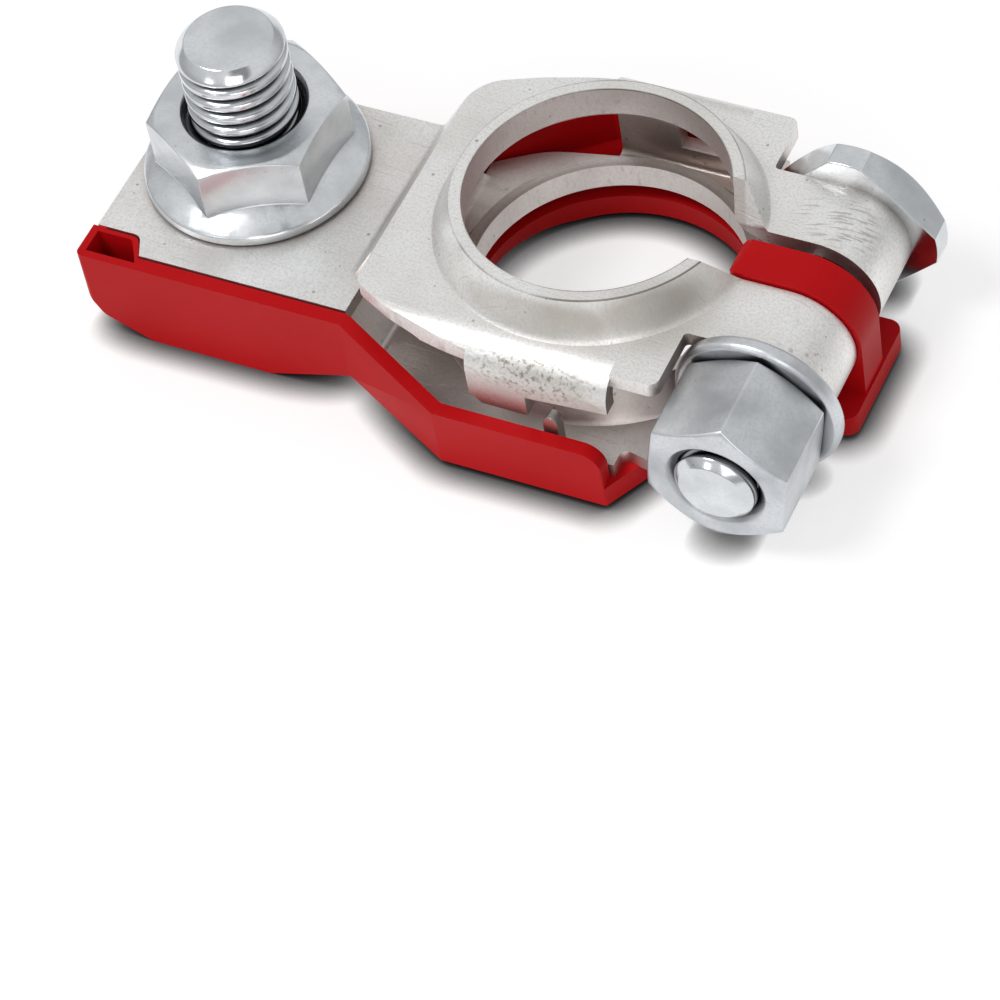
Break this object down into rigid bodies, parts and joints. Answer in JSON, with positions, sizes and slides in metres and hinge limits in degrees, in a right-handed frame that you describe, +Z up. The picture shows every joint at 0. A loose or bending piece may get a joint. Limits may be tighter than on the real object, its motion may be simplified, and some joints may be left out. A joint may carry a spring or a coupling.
{
  "type": "battery terminal clamp",
  "caption": "Folded sheet clamp that grips a battery post with a pinch bolt and carries a threaded stud for a cable lug, held in a moulded insulating tray.",
  "frame": {"origin": "on the axis of the battery post, in the top face of the upper plate", "axes": "+Z up along the battery post and the stud; the stud is on the -X side, the pinch bolt on the +X side and its nut on the -Y side"},
  "size_m": [0.0585, 0.033, 0.0208],
  "materials": {
    "tinned_sheet": "satin tin plating with fine scratches and dark specks",
    "red_plastic": "smooth moulded plastic",
    "zinc_thread": "bright zinc plating",
    "zinc_nut": "bright blue-white zinc plating"
  },
  "bodies": {
    "clamp": {"clamp_body": "tinned_sheet", "insulating_tray": "red_plastic", "stud_bolt": "zinc_thread", "pinch_bolt": "zinc_thread"},
    "stud_nut": {"stud_nut": "zinc_nut"},
    "pinch_washer": {"pinch_washer": "zinc_nut"},
    "pinch_nut": {"pinch_nut": "zinc_nut"}
  },
  "joints": [
    {"name": "stud_nut_turn", "type": "hinge", "parent": "clamp", "child": "stud_nut", "pos_m": [-0.02775, 0, -0.0036], "axis": [0, 0, 1], "continuous": true},
    {"name": "washer_slide", "type": "slide", "parent": "clamp", "child": "pinch_washer", "axis": [0, -1, 0], "range_m": [0, 0.004]},
    {"name": "pinch_nut_turn", "type": "hinge", "parent": "pinch_washer", "child": "pinch_nut", "pos_m": [0.0152, -0.0093, -0.0046], "axis": [0, -1, 0], "range_deg": [0, 1440]}
  ],
  "couplings": [
    {"joint": "pinch_nut_turn", "follows": "washer_slide", "rad_per_m": 6283.2}
  ]
}
